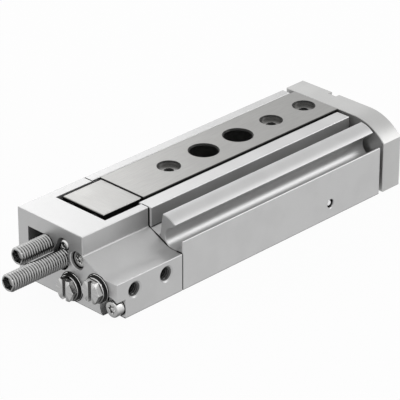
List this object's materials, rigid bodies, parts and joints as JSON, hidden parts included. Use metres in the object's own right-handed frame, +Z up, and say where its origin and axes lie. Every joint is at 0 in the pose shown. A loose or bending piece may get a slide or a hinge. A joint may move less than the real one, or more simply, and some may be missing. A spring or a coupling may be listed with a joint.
{
  "type": "pneumatic slide table",
  "caption": "Pneumatic slide table: a ball-guided steel table on a housing with built-in cylinder, rear yoke plate, adjustable stops and side air ports.",
  "frame": {"origin": "on the base plane, half-way between the two mounting bores under the table", "axes": "+X towards the air ports and the sensor slot, +Y along the travel, towards the yoke, as the table moves out, +Z up from the base"},
  "size_m": [0.0447, 0.1535, 0.0244],
  "materials": {
    "housing_aluminium": "fine bead-blasted and clear anodised",
    "cover_aluminium": "fine bead-blasted and clear anodised",
    "table_steel": "ground, slightly warm grey",
    "yoke_aluminium": "fine bead-blasted and clear anodised",
    "stop_block_steel": "ground",
    "hardened_steel": "ground and hardened",
    "bright_screw_steel": "bright zinc plated",
    "stop_screw_steel": "rolled thread, nickel plated",
    "plug_nickel": "nickel plated brass",
    "rod_chrome": "hard chrome, polished",
    "ball_steel": "polished",
    "cage_polymer": "moulded polymer, matt",
    "piston_aluminium": "turned",
    "gland_aluminium": "turned",
    "magnet_ferrite": "pressed ferrite",
    "seal_rubber": "black elastomer",
    "buffer_polymer": "elastic polymer, matt",
    "spring_steel": "blued spring steel"
  },
  "bodies": {
    "housing": {"housing_body": "housing_aluminium", "front_cover": "cover_aluminium", "guide_rail_left": "hardened_steel", "guide_rail_right": "hardened_steel", "cylinder_seal": "seal_rubber", "rod_gland": "gland_aluminium", "rod_seal": "seal_rubber", "rod_wiper": "seal_rubber", "gland_seal": "seal_rubber", "gland_retaining_ring": "spring_steel", "stop_clamp_screw": "bright_screw_steel", "cover_screw_upper": "bright_screw_steel", "cover_screw_left": "bright_screw_steel", "cover_screw_corner": "bright_screw_steel", "blanking_plug_inner": "plug_nickel", "blanking_plug_outer": "plug_nickel", "plug_seal_inner": "seal_rubber", "plug_seal_outer": "seal_rubber", "passage_ball": "ball_steel"},
    "table": {"slide_table": "table_steel", "stop_block": "stop_block_steel", "stop_block_screw_left": "bright_screw_steel", "stop_block_screw_right": "bright_screw_steel", "yoke_plate": "yoke_aluminium", "yoke_screw_left": "bright_screw_steel", "yoke_screw_right": "bright_screw_steel", "rod_screw": "bright_screw_steel", "yoke_dowel_left": "hardened_steel", "yoke_dowel_right": "hardened_steel", "piston_rod": "rod_chrome", "piston": "piston_aluminium", "piston_magnet": "magnet_ferrite", "piston_seal_front": "seal_rubber", "piston_seal_rear": "seal_rubber"},
    "cage_left": {"ball_cage_left": "cage_polymer", "guide_balls_left": "ball_steel"},
    "cage_right": {"ball_cage_right": "cage_polymer", "guide_balls_right": "ball_steel"},
    "retract_stop": {"retract_stop_screw": "stop_screw_steel", "retract_stop_buffer": "buffer_polymer"},
    "extend_stop": {"extend_stop_screw": "stop_screw_steel", "extend_stop_washer": "buffer_polymer", "extend_stop_nut": "stop_screw_steel"}
  },
  "joints": [
    {"name": "table_slide", "type": "slide", "parent": "housing", "child": "table", "axis": [0, 1, 0], "range_m": [0, 0.04]},
    {"name": "left_cage_travel", "type": "slide", "parent": "housing", "child": "cage_left", "axis": [0, 1, 0], "range_m": [0, 0.02]},
    {"name": "right_cage_travel", "type": "slide", "parent": "housing", "child": "cage_right", "axis": [0, 1, 0], "range_m": [0, 0.02]},
    {"name": "retract_stop_adjust", "type": "slide", "parent": "housing", "child": "retract_stop", "axis": [0, 1, 0], "range_m": [-0.008, 0]},
    {"name": "extend_stop_adjust", "type": "slide", "parent": "housing", "child": "extend_stop", "axis": [0, 1, 0], "range_m": [0, 0.005]}
  ],
  "couplings": [
    {"joint": "left_cage_travel", "follows": "table_slide", "ratio": 0.5},
    {"joint": "right_cage_travel", "follows": "table_slide", "ratio": 0.5}
  ]
}
